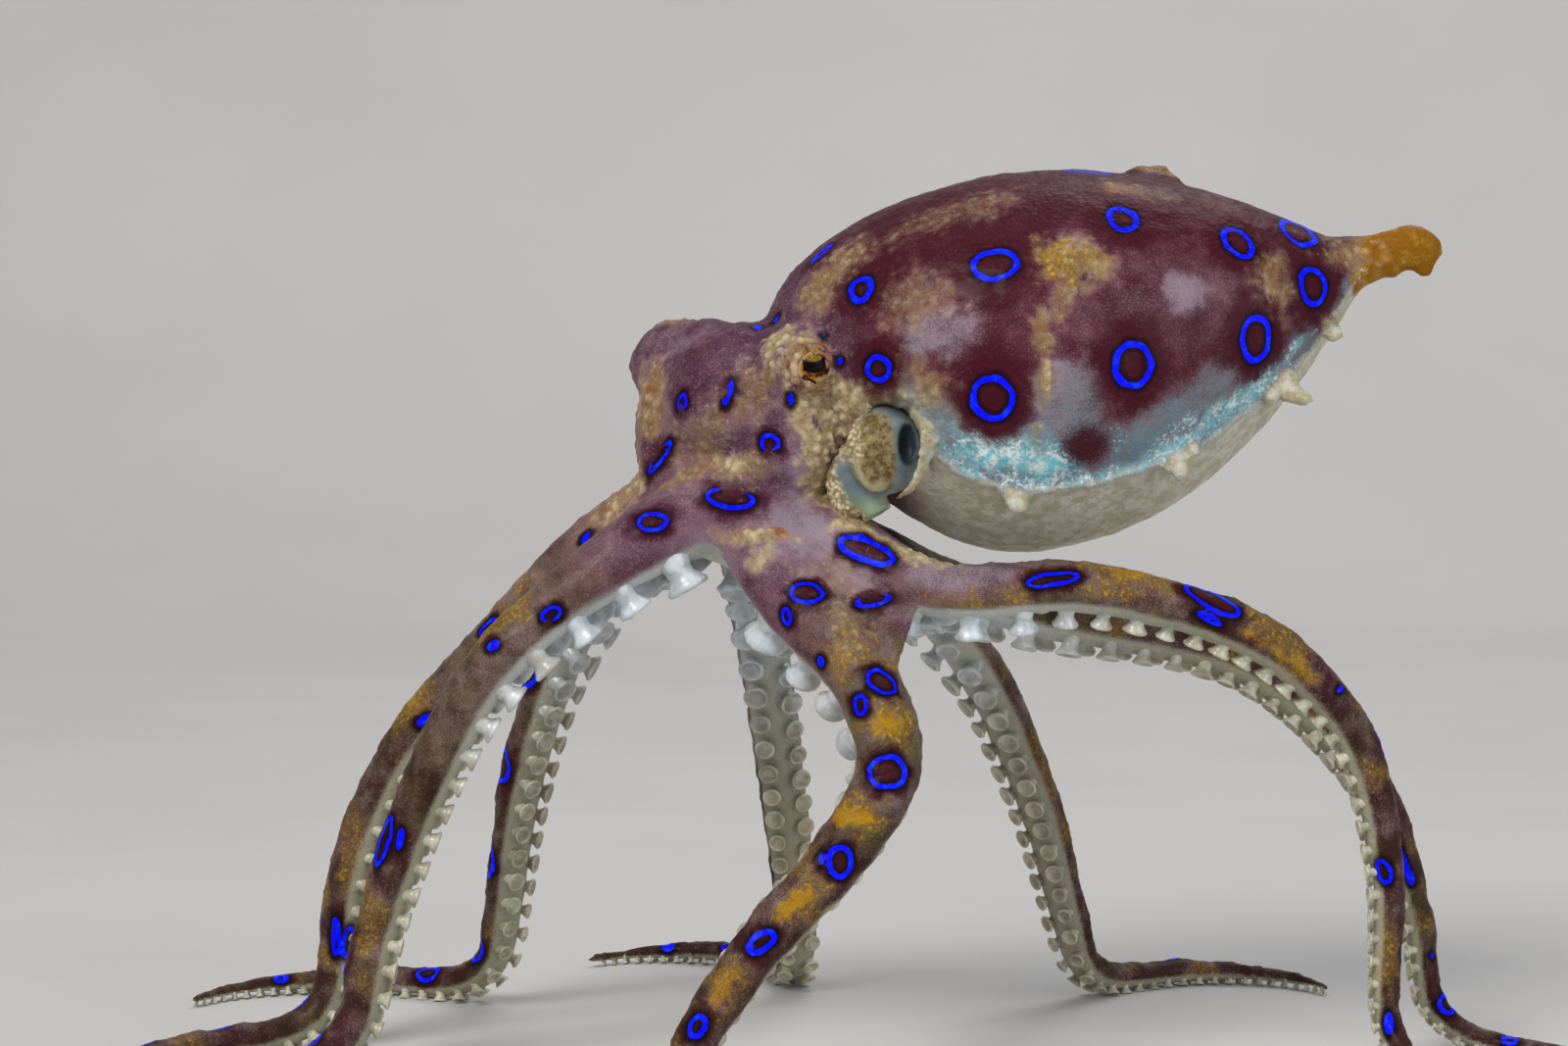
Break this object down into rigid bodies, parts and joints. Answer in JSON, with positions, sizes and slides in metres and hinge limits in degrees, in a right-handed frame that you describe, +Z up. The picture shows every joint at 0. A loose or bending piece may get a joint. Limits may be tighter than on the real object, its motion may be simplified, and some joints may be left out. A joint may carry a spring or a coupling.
{
  "type": "blue ringed octopus",
  "caption": "Still, life-size blue ringed octopus standing on its curled arms, its bulbous mantle raised behind the head and two rows of suckers under each arm.",
  "frame": {"origin": "centre of the footprint's bounding box, on the floor that the arms lie on", "axes": "+X towards the tail of the mantle, +Z up, -Y towards the animal's left side"},
  "size_m": [0.1156, 0.0948, 0.0693],
  "materials": {
    "skin": "moist skin, maroon and ochre patches with vivid blue rings, silvery below",
    "arm_skin": "moist skin, ochre bands with dark mottling and vivid blue rings",
    "siphon": "moist translucent grey-blue flesh",
    "eye": "glossy gold iris with a black slit pupil"
  },
  "bodies": {
    "root": {"mantle": "skin", "head": "skin", "crown": "skin", "arm_left_1_upper": "arm_skin", "arm_left_1_middle": "arm_skin", "arm_left_1_tip": "arm_skin", "arm_left_2_upper": "arm_skin", "arm_left_2_middle": "arm_skin", "arm_left_2_tip": "arm_skin", "arm_left_3_upper": "arm_skin", "arm_left_3_middle": "arm_skin", "arm_left_3_tip": "arm_skin", "arm_left_4_upper": "arm_skin", "arm_left_4_middle": "arm_skin", "arm_left_4_tip": "arm_skin", "arm_right_1_upper": "arm_skin", "arm_right_1_middle": "arm_skin", "arm_right_1_tip": "arm_skin", "arm_right_2_upper": "arm_skin", "arm_right_2_middle": "arm_skin", "arm_right_2_tip": "arm_skin", "arm_right_3_upper": "arm_skin", "arm_right_3_middle": "arm_skin", "arm_right_3_tip": "arm_skin", "arm_right_4_upper": "arm_skin", "arm_right_4_middle": "arm_skin", "arm_right_4_tip": "arm_skin", "siphon": "siphon", "eye_left": "eye", "eye_right": "eye"}
  },
  "joints": []
}
